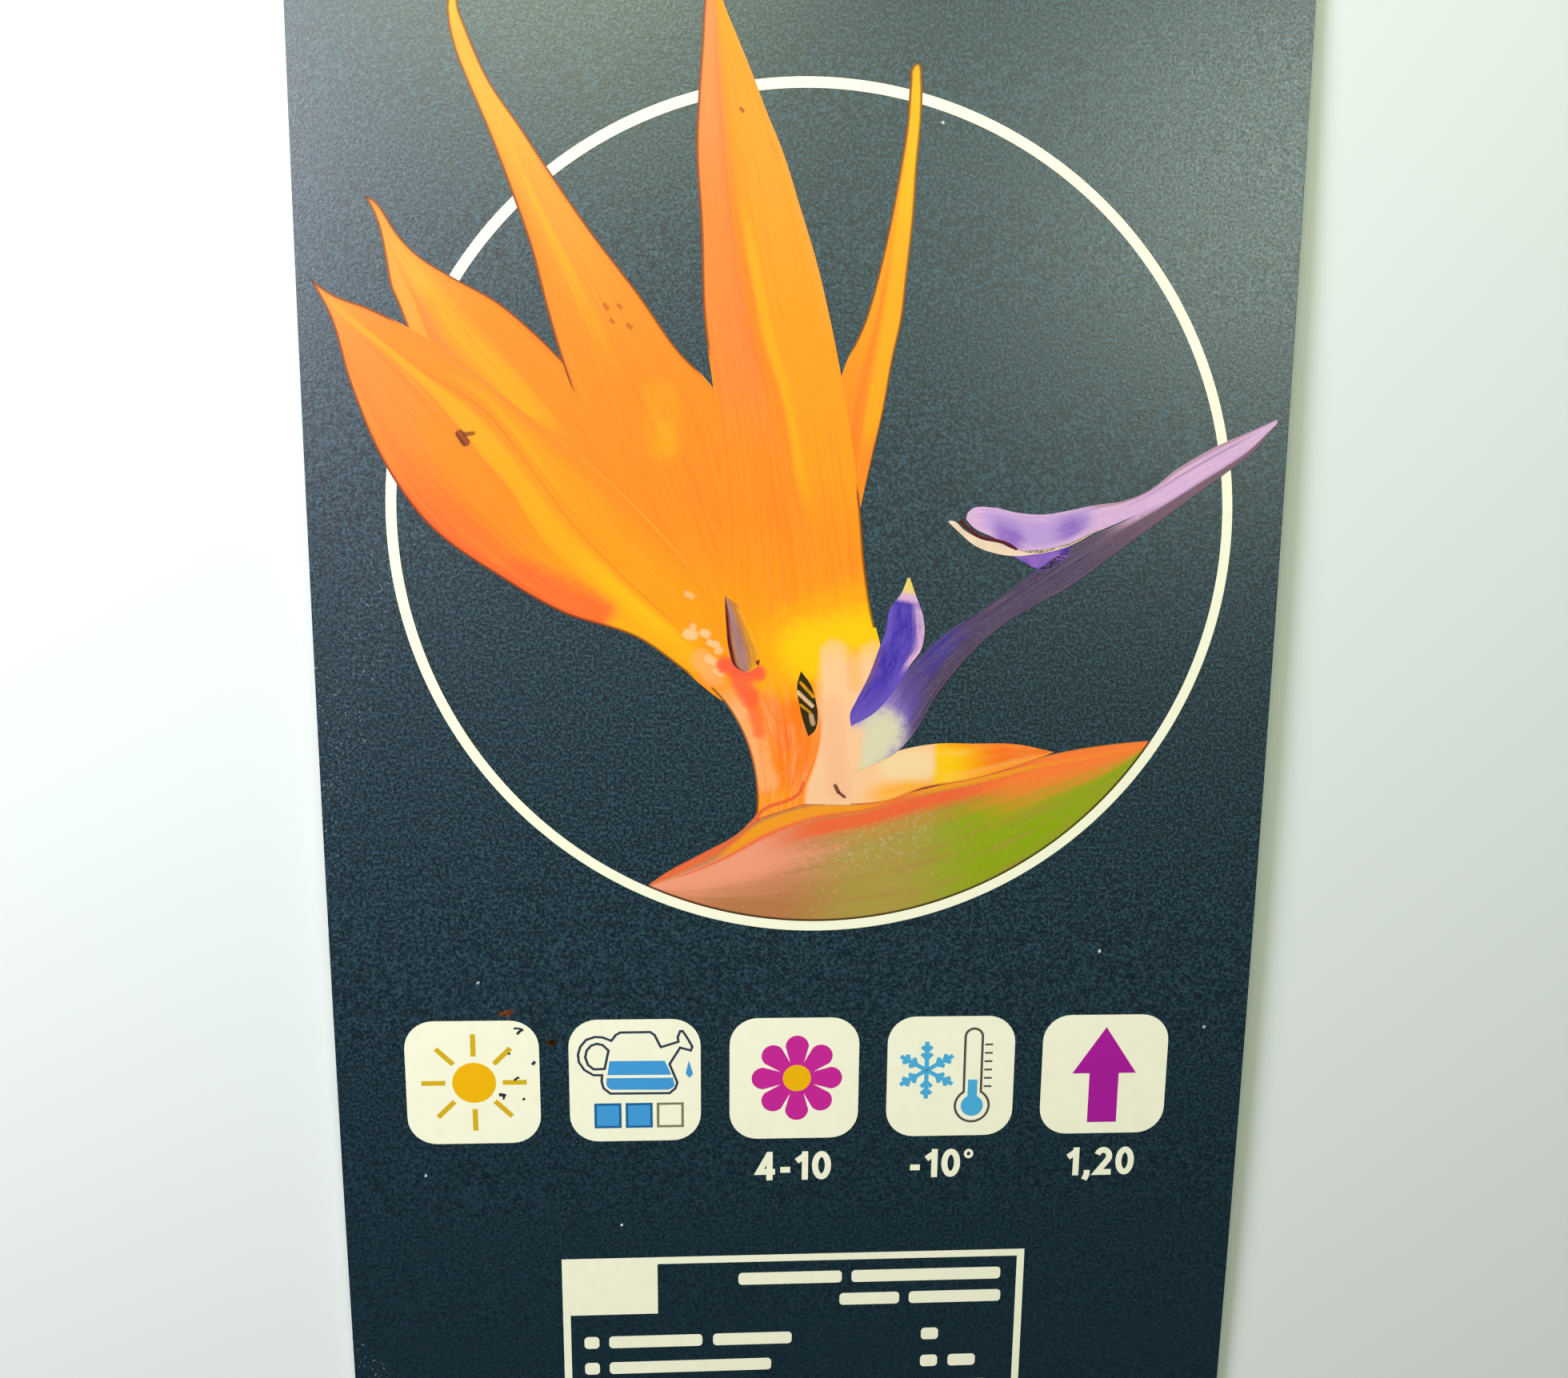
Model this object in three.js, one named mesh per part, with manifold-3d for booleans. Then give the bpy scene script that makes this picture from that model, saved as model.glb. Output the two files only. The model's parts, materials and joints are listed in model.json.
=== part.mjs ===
// A printed plastic plant label: one die-cut card with rounded corners and a hole to hang it by.
// It lies face up, slightly arched along its length, so that it rests on its two short edges.
// Millimetres. +X runs across the label, +Y up its length, +Z out of the printed face.
// The origin is below the middle of the card, on the surface that it lies on.
import * as THREE from 'three';
import { mergeVertices } from 'three/addons/utils/BufferGeometryUtils.js';
import Module from 'manifold-3d';

// Driving dimensions
const CARD_WIDTH = 90;
const CARD_LENGTH = 180; // measured along the arched face
const CARD_THICKNESS = 0.6;
const CORNER_RADIUS = 5;
const BOW_RADIUS = 2500; // radius of the arch, at the printed face
const HOLE_RADIUS = 4;
const HOLE_INSET = 10; // centre of the hole below the top edge

// How finely the round shapes are divided
const BOW_FACETS = 15; // an odd number, so that the crown of the arch is one level facet
const CORNER_SEGMENTS = 8;
const HOLE_SIDES = 24;

const HALF_ARC = CARD_LENGTH / 2 / BOW_RADIUS; // half of the arch's angle, in radians
const PLAN_LENGTH = 2 * BOW_RADIUS * Math.sin(HALF_ARC); // the arched card seen from straight above
const BACK_RADIUS = BOW_RADIUS - CARD_THICKNESS;
const ARCH_CENTRE_Z = -BACK_RADIUS * Math.cos(HALF_ARC); // the back's two ends lie at z = 0
const CUT_HEIGHT = 20; // taller than the arch, so that the die cuts right through it
const OVERHANG = 5; // how far the uncut sheet reaches past the die's outline

// A point of the arch's section: angle from the crown, and distance from the arch's centre.
function archPoint(angle, radius) {
  return new THREE.Vector2(radius * Math.sin(angle), ARCH_CENTRE_Z + radius * Math.cos(angle));
}

// The uncut sheet: the arched section, extruded across the label.
function sheetGeometry() {
  const facetAngle = (2 * HALF_ARC) / BOW_FACETS;
  const extra = OVERHANG / BOW_RADIUS;
  const angles = [-HALF_ARC - extra];
  for (let i = 0; i <= BOW_FACETS; i += 1) angles.push(-HALF_ARC + i * facetAngle);
  angles.push(HALF_ARC + extra);
  const back = angles.map((angle) => archPoint(angle, BACK_RADIUS));
  const front = angles.map((angle) => archPoint(angle, BOW_RADIUS)).reverse();
  const width = CARD_WIDTH + 2 * OVERHANG;
  const geometry = new THREE.ExtrudeGeometry(new THREE.Shape([...back, ...front]), {
    depth: width,
    bevelEnabled: false,
  });
  // The section was drawn in X and Y: turn X to Y, Y to Z, and the extrusion to X.
  const turn = new THREE.Matrix4().makeBasis(
    new THREE.Vector3(0, 1, 0),
    new THREE.Vector3(0, 0, 1),
    new THREE.Vector3(1, 0, 0),
  );
  geometry.applyMatrix4(turn);
  geometry.translate(-width / 2, 0, 0);
  return geometry;
}

// The outline that the die cuts, seen from above: a rectangle with rounded corners and a hole.
function dieGeometry() {
  const right = CARD_WIDTH / 2;
  const top = PLAN_LENGTH / 2;
  const r = CORNER_RADIUS;
  const outline = new THREE.Shape();
  outline.moveTo(-right + r, -top);
  outline.lineTo(right - r, -top);
  outline.absarc(right - r, -top + r, r, -Math.PI / 2, 0, false);
  outline.absarc(right - r, top - r, r, 0, Math.PI / 2, false);
  outline.absarc(-right + r, top - r, r, Math.PI / 2, Math.PI, false);
  outline.absarc(-right + r, -top + r, r, Math.PI, 1.5 * Math.PI, false);
  const geometry = new THREE.ExtrudeGeometry(outline, {
    depth: CUT_HEIGHT,
    bevelEnabled: false,
    curveSegments: CORNER_SEGMENTS,
  });
  return geometry.translate(0, 0, -CUT_HEIGHT / 2);
}

function holeGeometry() {
  const geometry = new THREE.CylinderGeometry(HOLE_RADIUS, HOLE_RADIUS, CUT_HEIGHT, HOLE_SIDES);
  geometry.rotateX(Math.PI / 2);
  return geometry.translate(0, PLAN_LENGTH / 2 - HOLE_INSET, 0);
}

const wasm = await Module();
wasm.setup();

function toSolid(geometry) {
  const bare = geometry.index ? geometry.toNonIndexed() : geometry;
  bare.deleteAttribute('normal');
  bare.deleteAttribute('uv');
  const merged = mergeVertices(bare, 1e-4);
  const mesh = new wasm.Mesh({
    numProp: 3,
    vertProperties: merged.attributes.position.array,
    triVerts: Uint32Array.from(merged.index.array),
  });
  return new wasm.Manifold(mesh);
}

function toGeometry(solid) {
  const mesh = solid.getMesh();
  const geometry = new THREE.BufferGeometry();
  geometry.setAttribute('position', new THREE.BufferAttribute(mesh.vertProperties, 3));
  geometry.setIndex(new THREE.BufferAttribute(mesh.triVerts, 1));
  return geometry;
}

function makeCard() {
  const blank = toSolid(sheetGeometry()).intersect(toSolid(dieGeometry()));
  const geometry = toGeometry(blank.subtract(toSolid(holeGeometry())));
  geometry.computeVertexNormals();
  const satinNavy = new THREE.MeshStandardMaterial({ color: 0x243a4e, roughness: 0.42, metalness: 0 });
  const card = new THREE.Mesh(geometry, satinNavy);
  card.name = 'label_card';
  return card;
}

const label = new THREE.Group();
label.add(makeCard());

export default label;
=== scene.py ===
# A printed plastic plant label, face up on a pale floor.
# The print is laid out in millimetres on the flat card: x across it and v up it, from its middle.
# onCard() bends that layout with the card's arch and gives metres.
import json
import math
import bpy
import bmesh
import numpy as np
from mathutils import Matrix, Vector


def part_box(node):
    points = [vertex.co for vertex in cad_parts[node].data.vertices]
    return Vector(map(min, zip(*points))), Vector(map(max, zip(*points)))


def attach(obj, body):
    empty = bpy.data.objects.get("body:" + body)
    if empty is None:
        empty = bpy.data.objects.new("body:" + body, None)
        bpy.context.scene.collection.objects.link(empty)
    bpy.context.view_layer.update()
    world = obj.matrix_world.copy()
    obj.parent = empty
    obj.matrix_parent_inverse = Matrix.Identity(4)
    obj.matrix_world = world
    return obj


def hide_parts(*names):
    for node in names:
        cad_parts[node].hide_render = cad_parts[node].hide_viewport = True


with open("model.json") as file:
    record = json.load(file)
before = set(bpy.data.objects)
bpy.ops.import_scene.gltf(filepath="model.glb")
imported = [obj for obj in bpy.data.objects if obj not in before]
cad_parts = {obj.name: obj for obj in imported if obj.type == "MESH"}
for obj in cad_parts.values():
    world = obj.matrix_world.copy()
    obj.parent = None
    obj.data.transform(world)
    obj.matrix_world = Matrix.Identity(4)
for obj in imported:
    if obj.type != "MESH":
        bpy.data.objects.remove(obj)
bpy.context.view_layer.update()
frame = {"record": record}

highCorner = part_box("label_card")[1]
faceHeight = {mount["name"]: mount["pos_m"][2] * 1000 for mount in frame["record"]["mounts"]}
thickness = faceHeight["front_face"] - faceHeight["back_face"]
halfPlan = highCorner.y * 1000
crownHeight = highCorner.z * 1000
rise = crownHeight - thickness  # of the face's crown above its two ends
card = {
    "halfWidth": highCorner.x * 1000,
    "thickness": thickness,
    "crown": crownHeight,
    "radius": (halfPlan**2 + rise**2) / (2 * rise),
    "cornerRadius": 5.0,
    "holeRadius": 4.0,
    "holeInset": 10.0,
    "holeSides": 48,
    "gridStep": 2.5,
    "edgeBevel": 0.06,
}
card["halfLength"] = card["radius"] * math.asin(halfPlan / card["radius"])

film = {"sunk": -0.01, "first": 0.012, "step": 0.006}  # heights of the ink films, in mm over the face
quarterTurn = np.linspace(0, np.pi / 2, 9)  # the angles of a rounded corner's places
meshing = {"mitreLimit": 0.35, "mergeDistance": 2e-7, "sharpAngle": 40, "bevelAngle": 50, "bevelSegments": 2}


def onCard(x, v, h=0.0):
    # the face is an arc about a line across the label: v is a length along the arc, h a height over it
    angle = np.asarray(v, float) / card["radius"]
    reach = card["radius"] + h
    level = card["crown"] - card["radius"] + reach * np.cos(angle)
    return np.stack(np.broadcast_arrays(x, reach * np.sin(angle), level), -1) * 0.001


def smoothLine(points, count):
    # cubic through chosen points, each with the slope of its neighbours, read at even steps of its length
    p = np.array(points, float)
    t = np.concatenate([[0], np.cumsum(np.linalg.norm(np.diff(p, axis=0), axis=1))])
    slope = np.gradient(p, t, axis=0)
    s = np.linspace(0, 1, count) * t[-1]
    i = np.clip(np.searchsorted(t, s, "right") - 1, 0, len(t) - 2)
    span = (t[i + 1] - t[i])[:, None]
    u = (s - t[i])[:, None] / span
    start = (1 + 2 * u) * (1 - u) ** 2 * p[i] + u * (1 - u) ** 2 * span * slope[i]
    return start + u**2 * (3 - 2 * u) * p[i + 1] - u**2 * (1 - u) * span * slope[i + 1]


def arc(centre, reach, start, end, count):
    # places on the arc of a circle, or of an ellipse with two reaches; its angles are in degrees
    turn = np.radians(np.linspace(start, end, count))
    reach = np.broadcast_to(reach, 2)
    return np.stack([centre[0] + reach[0] * np.cos(turn), centre[1] + reach[1] * np.sin(turn)], -1)


def cells(index):
    # the quads of a grid of places
    return np.stack([index[:-1, :-1], index[:-1, 1:], index[1:, 1:], index[1:, :-1]], -1)


def edges(index, closed=False):
    # the lines of places along a grid's sides, and along its ends too unless those are joined
    sides = [(index[1:, 0], index[:-1, 0]), (index[:-1, -1], index[1:, -1])]
    ends = [(index[0, :-1], index[0, 1:]), (index[-1, 1:], index[-1, :-1])]
    return sides if closed else sides + ends


def walls(lines, below):
    # the quads between the upper and the lower places of lines
    return np.concatenate([np.stack([p + below, q + below, q, p], -1) for p, q in lines])


def slab(x, v, layer=0, ink=0, closed=False):
    # solid film over a grid of places: its rows run along it, its columns across it
    # where it is closed, the last row joins the first
    rows, columns = x.shape
    upper = onCard(x, v, film["first"] + film["step"] * layer).reshape(-1, 3)
    lower = onCard(x, v, film["sunk"]).reshape(-1, 3)
    index = np.arange(rows * columns).reshape(rows, columns)
    if closed:
        index = np.vstack([index, index[:1]])
    faces = cells(index).reshape(-1, 4)
    below = rows * columns
    faces = np.concatenate([faces, faces[:, ::-1] + below, walls(edges(index, closed), below)])
    stepX, stepV = np.diff(x, axis=1), np.diff(v, axis=1)
    turn = stepX[:-1] * np.diff(v, axis=0)[:, :-1] - stepV[:-1] * np.diff(x, axis=0)[:, :-1]
    if turn.sum() < 0:
        faces = faces[:, ::-1]
    along = np.linspace(0, 1, rows)[:, None] + np.zeros(columns)
    across = np.linspace(0, 1, columns) + np.zeros((rows, 1))
    fromLeft = np.hstack([np.zeros((rows, 1)), np.cumsum(np.hypot(stepX, stepV), axis=1)])
    margins = np.stack([fromLeft, fromLeft[:, -1:] - fromLeft], -1)
    return {
        "places": np.concatenate([upper, lower]),
        "faces": faces,
        "ink": np.full(len(faces), ink),
        "lengthAcross": np.tile(np.stack([along, across], -1).reshape(-1, 2), (2, 1)),
        "margins": np.tile(margins.reshape(-1, 2), (2, 1)),
    }


def loft(rails, rows, strips, layer, ink=0):
    # surface through lines that run from its base to its tip, straight between neighbours
    # its across coordinate counts the lines from 0
    lines = np.stack([smoothLine(rail, rows) for rail in rails], 1)
    across = np.linspace(0, len(rails) - 1, strips * (len(rails) - 1) + 1)
    i = np.minimum(across.astype(int), len(rails) - 2)
    part = (across - i)[:, None]
    grid = lines[:, i] * (1 - part) + lines[:, i + 1] * part
    shell = slab(grid[..., 0], grid[..., 1], layer, ink)
    shell["lengthAcross"][:, 1] *= len(rails) - 1
    return shell


def petal(spec):
    return loft(spec["rails"], spec["rows"], spec["strips"], spec["layer"])


def fine(corners, step=3.0):
    # closed path through the corners with places so near together that it follows the card's arch
    p = np.array(corners, float)
    sides = []
    for start, end in zip(p, np.roll(p, -1, axis=0)):
        count = math.ceil(np.hypot(*(end - start)) / step)
        sides.append(np.linspace(start, end, count + 1)[:-1])
    return np.vstack(sides)


def plate(centre, width, depth, corner, layer=0, ink=0):
    # rounded rectangle: rows up it, whose half width follows the corners' arcs
    reach = width / 2 - corner + corner * np.cos(quarterTurn)
    lift = depth / 2 - corner + corner * np.sin(quarterTurn)
    level = np.linspace(-lift[0], lift[0], 5)
    half = np.concatenate([reach[::-1], np.full(3, width / 2), reach])[:, None]
    v = np.concatenate([-lift[::-1], level[1:-1], lift])[:, None]
    across = np.linspace(-1, 1, 7)
    return slab(centre[0] + half * across, centre[1] + v + 0 * across, layer, ink)


def stroke(path, width, layer=0, ink=0, closed=False):
    # line of even width: each place moves to both sides along the mitre of its two segments
    p = np.array(path, float)
    around = [p[-1:], p, p[:1]] if closed else [2 * p[:1] - p[1:2], p, 2 * p[-1:] - p[-2:-1]]
    step = np.diff(np.vstack(around), axis=0)
    step /= np.linalg.norm(step, axis=1)[:, None]
    mean = step[:-1] + step[1:]
    sharpness = np.maximum((mean**2).sum(1) / 2, meshing["mitreLimit"])
    mitre = np.stack([mean[:, 1], -mean[:, 0]], -1) / sharpness[:, None]
    grid = p[:, None] + mitre[:, None] * np.array([[-0.5], [0.0], [0.5]]) * width
    return slab(grid[..., 0], grid[..., 1], layer, ink, closed)


def disc(centre, radius, layer=0, ink=0, sides=48):
    # rings of places round a centre
    turn = np.linspace(0, 2 * np.pi, sides, endpoint=False)[:, None]
    reach = np.linspace(0, radius, 4)
    return slab(centre[0] + reach * np.cos(turn), centre[1] + reach * np.sin(turn), layer, ink, True)


def added(name, data):
    thing = bpy.data.objects.new(name, data)
    bpy.context.scene.collection.objects.link(thing)
    return thing


def dressed(name, mesh):
    # a piece in the scene, on the card's body
    thing = added(name, mesh)
    thing.data.set_sharp_from_angle(angle=math.radians(meshing["sharpAngle"]))
    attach(thing, "root")
    return thing


def piece(name, shells, inks):
    # joins shells into one mesh with their maps and inks, and merges doubled places
    first = np.cumsum([0] + [len(shell["places"]) for shell in shells])
    faces = np.concatenate([shell["faces"] + n for shell, n in zip(shells, first)])
    mesh = bpy.data.meshes.new(name)
    mesh.from_pydata(np.concatenate([shell["places"] for shell in shells]), [], faces.tolist())
    mesh.polygons.foreach_set("material_index", np.concatenate([shell["ink"] for shell in shells]))
    corner = np.empty(len(mesh.loops), np.int32)
    mesh.loops.foreach_get("vertex_index", corner)
    for key in ("lengthAcross", "margins"):
        values = np.concatenate([shell[key] for shell in shells])[corner]
        layer = mesh.uv_layers.new(name=key, do_init=False)
        layer.uv.foreach_set("vector", values.astype(np.float32).ravel())
    built = bmesh.new()
    built.from_mesh(mesh)
    bmesh.ops.remove_doubles(built, verts=built.verts, dist=meshing["mergeDistance"])
    built.to_mesh(mesh)
    built.free()
    for ink in inks:
        mesh.materials.append(ink)
    dressed(name, mesh)


class Wire:
    # a number that varies over a surface: each operator on it adds one Math node
    def __init__(self, tree, socket):
        self.tree = tree
        self.socket = socket

    def work(self, operation, *terms):
        node = self.tree.nodes.new("ShaderNodeMath")
        node.operation = operation
        for place, term in zip(node.inputs, terms):
            plug(self.tree, place, term)
        return Wire(self.tree, node.outputs[0])

    def __add__(self, other):
        return self.work("ADD", self, other)

    def __sub__(self, other):
        return self.work("SUBTRACT", self, other)

    def __rsub__(self, other):
        return self.work("SUBTRACT", other, self)

    def __mul__(self, other):
        return self.work("MULTIPLY", self, other)

    def __truediv__(self, other):
        return self.work("DIVIDE", self, other)

    def __pow__(self, other):
        return self.work("POWER", self, other)

    def __abs__(self):
        return self.work("ABSOLUTE", self)

    def least(self, other):
        return self.work("MINIMUM", self, other)

    def most(self, other):
        return self.work("MAXIMUM", self, other)

    __radd__ = __add__
    __rmul__ = __mul__


def plug(tree, place, value):
    if isinstance(value, Wire):
        tree.links.new(value.socket, place)
    elif isinstance(value, bpy.types.NodeSocket):
        tree.links.new(value, place)
    else:
        place.default_value = value


def tint(red, green, blue):
    # screen colour, 0 to 255, to the linear colour that a socket takes
    share = np.array([red, green, blue]) / 255
    linear = np.where(share > 0.04045, ((share + 0.055) / 1.055) ** 2.4, share / 12.92)
    return (*linear.tolist(), 1.0)


hues = {
    "navyDeep": (0, 23, 33), "navyDustAndSheen": (44, 76, 90), "scuff": (150, 165, 172),
    "core": (226, 227, 222), "coreShade": (214, 216, 212), "cream": (252, 244, 216),
    "creamShade": (249, 241, 212), "orange": (255, 132, 20), "deepOrange": (250, 112, 14),
    "amber": (255, 149, 8), "paleOrange": (255, 156, 52), "honey": (255, 172, 48),
    "gold": (255, 168, 2), "yellow": (255, 194, 0), "oliveGold": (224, 188, 16),
    "salmon": (255, 127, 50), "coral": (252, 96, 40), "rose": (246, 88, 56), "peach": (255, 168, 104),
    "petalCream": (250, 194, 146), "budCream": (246, 212, 158), "greenCream": (210, 188, 146),
    "droplet": (255, 196, 140), "rimBrown": (84, 30, 6), "wine": (92, 8, 22),
    "mauveGrey": (170, 122, 118), "umber": (196, 122, 58), "darkOlive": (44, 40, 4),
    "brick": (238, 100, 52), "blush": (240, 150, 116), "shrimp": (250, 134, 72),
    "violet": (60, 42, 158), "violetLight": (112, 84, 184), "lavender": (182, 146, 206),
    "lilac": (144, 98, 184), "orchid": (228, 178, 208), "plum": (70, 50, 82),
    "greyPlum": (116, 98, 116), "rosePlum": (132, 90, 104), "whiteGreen": (222, 208, 172),
    "barbCream": (244, 208, 180), "barbShade": (226, 196, 166), "tipCream": (236, 200, 104),
    "bractOrange": (242, 148, 32), "bractPink": (212, 128, 90), "bractBrown": (182, 116, 70),
    "bractOlive": (172, 148, 64), "bractGreen": (142, 162, 10), "soil": (44, 22, 6),
    "rust": (124, 62, 22), "sunYellow": (243, 178, 8), "rayYellow": (216, 172, 26),
    "waterBlue": (67, 151, 210), "waterEdge": (24, 96, 147), "frostBlue": (77, 170, 214),
    "lineGrey": (50, 59, 77), "tubeBrown": (89, 77, 71), "oliveGrey": (126, 120, 89),
    "magenta": (202, 38, 146), "arrowPurple": (172, 26, 150),
}


def hue(name):
    return tint(*hues[name])


varnish = {
    "navy": {"roughness": 0.41, "spread": 0.40, "grain": 4.6, "depth": 0.000016, "ior": 1.81},
    "print": {"roughness": 0.42, "spread": 0.10, "grain": 4.6, "depth": 0.0000015, "ior": 1.4},
    "bare": {"roughness": 0.55, "spread": 0.10, "grain": 2.0, "depth": 0.0000030, "ior": 1.46},
}


class Ink:
    # one printed finish: a material and what its pattern is worked out from, in millimetres
    def __init__(self, name):
        self.material = bpy.data.materials.new(name)
        self.material.use_nodes = True
        self.tree = self.material.node_tree
        self.tree.nodes.clear()
        place = self.node("ShaderNodeTexCoord", {}, {}, "Object")
        self.place = self.node("ShaderNodeVectorMath", {"operation": "SCALE"}, {0: place, 3: 1000.0})
        self.x, self.y = self.split(self.place)

    def node(self, kind, settings, inputs, output=0):
        made = self.tree.nodes.new(kind)
        for key, value in settings.items():
            setattr(made, key, value)
        for key, value in inputs.items():
            plug(self.tree, made.inputs[key], value)
        return made.outputs[output] if made.outputs else made

    def wire(self, *words):
        return Wire(self.tree, self.node(*words))

    def split(self, vector):
        parts = self.node("ShaderNodeSeparateXYZ", {}, {0: vector}).node
        return [Wire(self.tree, parts.outputs[i]) for i in range(2)]

    def joined(self, x, y):
        return self.node("ShaderNodeCombineXYZ", {}, {0: x, 1: y})

    def map(self, name):
        return self.split(self.node("ShaderNodeUVMap", {"uv_map": name}, {}))

    def follow(self):
        # reads the piece's own maps: where a place is along and across it, and how far from its two edges
        self.along, self.across = self.map("lengthAcross")
        self.margins = self.map("margins")

    def soft(self, value, start, end):
        # 0 at start and 1 at end, with a smooth step between
        settings = {"interpolation_type": "SMOOTHSTEP"}
        return self.wire("ShaderNodeMapRange", settings, {0: value, 1: start, 2: end})

    def mix(self, share, first, second):
        return self.node("ShaderNodeMix", {"data_type": "RGBA"}, {0: share, 6: first, 7: second}, 2)

    def lay(self, colour, share, name):
        return self.mix(share, colour, hue(name))

    def noise(self, vector, scale, detail=2.0, roughness=0.5):
        words = {"Vector": vector, "Scale": scale, "Detail": detail, "Roughness": roughness}
        return self.wire("ShaderNodeTexNoise", {}, words)

    def fibres(self, alongScale, acrossScale, detail, roughness):
        # noise drawn out along a petal
        drawn = self.joined(self.along * alongScale, self.across * acrossScale)
        return self.noise(drawn, 1.0, detail, roughness)

    def cloud(self, scale, detail, roughness, start, end):
        return self.soft(self.noise(self.place, scale, detail, roughness), start, end)

    def band(self, centre, half, span, fade):
        # stripe along a petal, about a line that counts its rails: its half width runs from base to tip
        # its span is where it starts and ends along the petal, and how softly
        width = self.along * (half[1] - half[0]) + half[0]
        inside = self.soft(abs(self.across - centre) / width, 1.0, 1.0 - fade)
        start, end, reach = (*span, 0.1)[:3]
        if start > 0:
            inside = inside * self.soft(self.along, start, start + reach)
        if end < 1:
            inside = inside * self.soft(self.along, end, end - reach)
        return inside

    def spot(self, start, end, radius, fade):
        # soft patch about the line from start to end: 0 where that line is a radius away
        run = (end[0] - start[0], end[1] - start[1])
        square = max(run[0] ** 2 + run[1] ** 2, 1e-6)
        dx, dy = self.x - start[0], self.y - start[1]
        share = ((dx * run[0] + dy * run[1]) / square).most(0.0).least(1.0)
        far = (dx - share * run[0]) ** 2 + (dy - share * run[1]) ** 2
        return self.soft(far, radius**2, (radius * (1 - fade)) ** 2)

    def paint(self, colour, marks, frayed=7.0):
        # lays marks over a colour, each a hue, its strength and the words of a spot or a band
        # fibres fray the edge of a band, and a cloud that of a spot
        fibre = self.fibres(2.4, 8.0, 4.0, 0.7) - 0.5
        cloud = self.noise(self.place, 1.3, 4.0, 0.75) - 0.5
        for name, strength, *words in marks:
            isSpot = isinstance(words[0], tuple)
            edge = cloud if isSpot else fibre
            shape = self.spot(*words) if isSpot else self.band(*words)
            shape = (shape + edge * frayed * shape * (1 - shape)).most(0.0).least(1.0)
            colour = self.lay(colour, shape * strength, name)
        return colour

    def streak(self, colour, shade, share, acrossScale=10.0, alongScale=2.2):
        # fine fibres along a petal
        wave = self.fibres(alongScale, acrossScale, 4.0, 0.65)
        return self.lay(colour, self.soft(wave, 0.42, 0.72) * share, shade)

    def veins(self, colour, shade, share, count=5.0):
        # hairlines along a petal, where drawn-out noise is nearly a half
        width = 0.012
        wave = self.fibres(0.8, count, 2.0, 0.5)
        return self.lay(colour, self.soft(abs(wave - 0.5), width, width * 0.2) * share, shade)

    def rim(self, colour, width, spans):
        # dark line along the left and the right edge, over its span of the length
        reach, strength = 0.03, 0.8
        for far, span in zip(self.margins, spans):
            if span:
                line = self.soft(far, width, width * 0.25) * self.soft(self.along, span[0], span[0] + reach)
                if span[1] < 1:
                    line = line * self.soft(self.along, span[1], span[1] - reach)
                colour = self.lay(colour, line * strength, "rimBrown")
        return colour

    def finish(self, colour, coat="print"):
        # satin varnish over the ink: a fine grain in its roughness and its surface
        satin = varnish[coat]
        grain = self.noise(self.place, satin["grain"], 2.0, 0.6)
        rough = (grain - 0.5) * satin["spread"] + satin["roughness"]
        bump = self.node("ShaderNodeBump", {}, {"Strength": 1.0, "Distance": satin["depth"], "Height": grain})
        words = {"Base Color": colour, "Roughness": rough, "Normal": bump, "IOR": satin["ior"]}
        shader = self.node("ShaderNodeBsdfPrincipled", {}, words)
        self.node("ShaderNodeOutputMaterial", {}, {"Surface": shader})
        return self.material


def flatInk(name, shade=None):
    # one even hue, a little cloudy
    ink = Ink(name)
    if shade is None:
        return ink.finish(hue(name))
    return ink.finish(ink.lay(hue(shade), ink.cloud(0.7, 3.0, 0.5, 0.3, 0.7), name))


cream = flatInk("cream", "creamShade")


# The card

scuffs = {
    "crease": ((-38.6, 16.0), (-44.6, -9.0), 2.6, 0.9),
    "edge": ((-45.0, 6.0), (-45.2, -12.0), 2.2, 0.9),
    "corner": ((-45.0, -63.0), (-42.0, -67.0), 1.6, 0.9),
}


def navyPrint():
    # dark ground with a fine pale dust and painted sheen: the grain grows paler and stronger towards the top
    # as the sheen does, fades at the foot, and is thicker where the card is scuffed
    ink = Ink("navyPrint")
    # partly painted sheen: the pale grain is lighter and stronger towards the top of the card; the rest is
    # real dust
    dustAndSheenRise = ink.soft(ink.y, -75.0, 10.0)
    dustAndSheenGrain = (ink.noise(ink.place, 3.6, 2.0, 0.6) - 0.5) * (dustAndSheenRise * 4.2 + 0.7) + dustAndSheenRise * 0.1 + 0.17
    colour = ink.mix(dustAndSheenGrain.most(0.0).least(1.0), hue("navyDeep"), hue("navyDustAndSheen"))
    folded, rubbed, chipped = (ink.spot(*words) for words in scuffs.values())
    worn = folded.most(rubbed).most(chipped)
    colour = ink.lay(colour, ink.cloud(3.1, 2.0, 0.7, 0.62, 0.72) * worn * 0.7, "scuff")
    return ink.finish(colour, "navy")


def barePlastic():
    ink = Ink("barePlastic")
    cloud = ink.noise(ink.place, 0.08, 3.0)
    return ink.finish(ink.mix(cloud, hue("coreShade"), hue("core")), "bare")


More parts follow.
